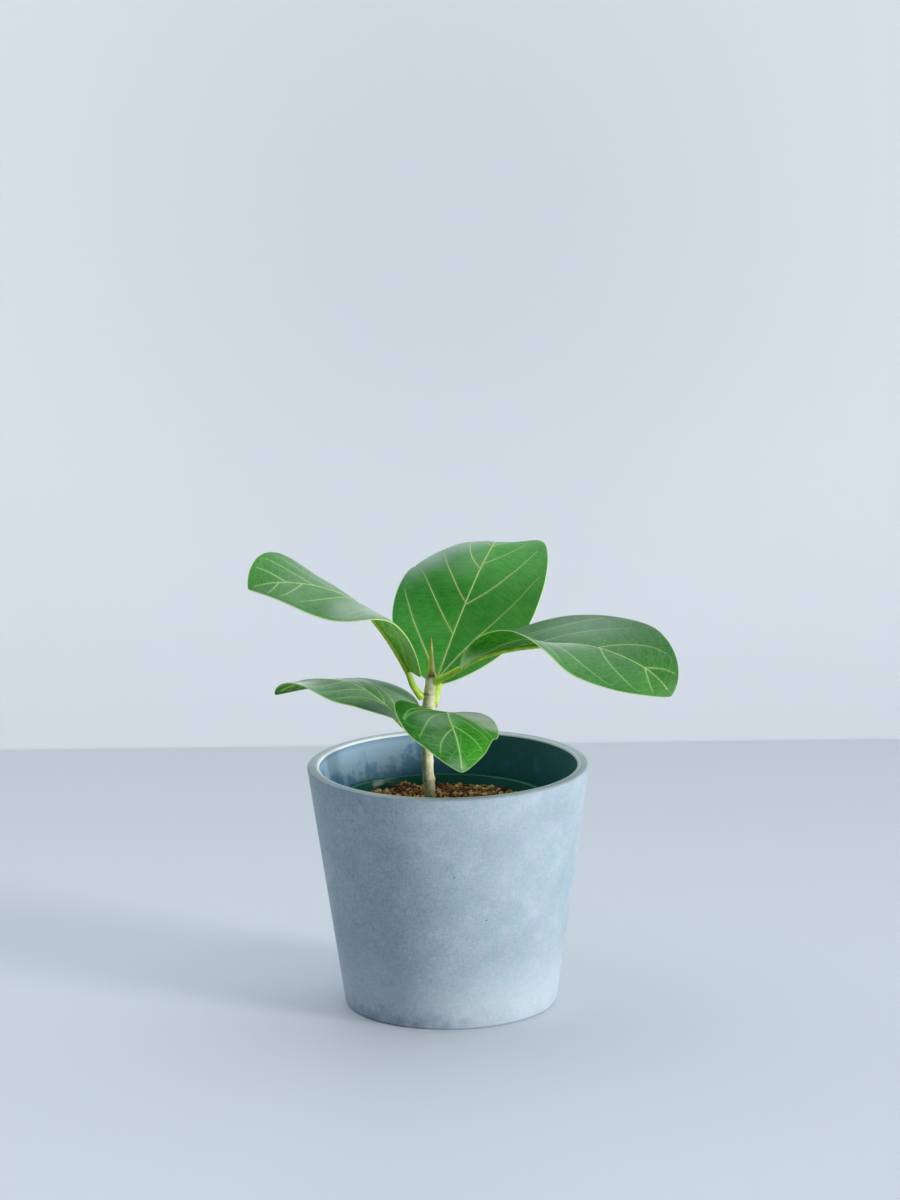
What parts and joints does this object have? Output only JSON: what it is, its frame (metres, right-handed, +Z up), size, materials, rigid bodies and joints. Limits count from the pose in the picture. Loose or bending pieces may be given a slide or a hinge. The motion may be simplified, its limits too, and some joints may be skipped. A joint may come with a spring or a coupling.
{
  "type": "potted plant",
  "caption": "Young banyan fig with broad leathery leaves on a single woody stem, in a thin grower's pot standing inside a tapered outer pot.",
  "frame": {"origin": "centre of the outer pot's flat resting face", "axes": "+Z up along the outer pot's axis; -Y is the side the front leaf leans towards; +X is the side of the longest leaf"},
  "size_m": [0.224, 0.1938, 0.2487],
  "materials": {
    "outer_pot": "matt stone-filled plastic, clouded blue-grey with fine scuffs, chalky water stains inside",
    "nursery_pot": "thin satin dark green plastic",
    "substrate": "loose brown bark and golden-tan granules, matt",
    "bark": "young pale grey-green bark with brown leaf-scar rings, matt",
    "bud_sheath": "papery pointed sheath, olive to tan, satin",
    "leaf": "leathery deep green with a satin sheen, raised pale veins and a thin pale margin, lighter below"
  },
  "bodies": {
    "root": {"outer_pot": "outer_pot", "nursery_pot": "nursery_pot", "soil": "substrate", "stem": "bark", "terminal_bud": "bud_sheath", "leaf_upper_left": "leaf", "leaf_back": "leaf", "leaf_right": "leaf", "leaf_lower_left": "leaf", "leaf_front": "leaf"}
  },
  "joints": []
}
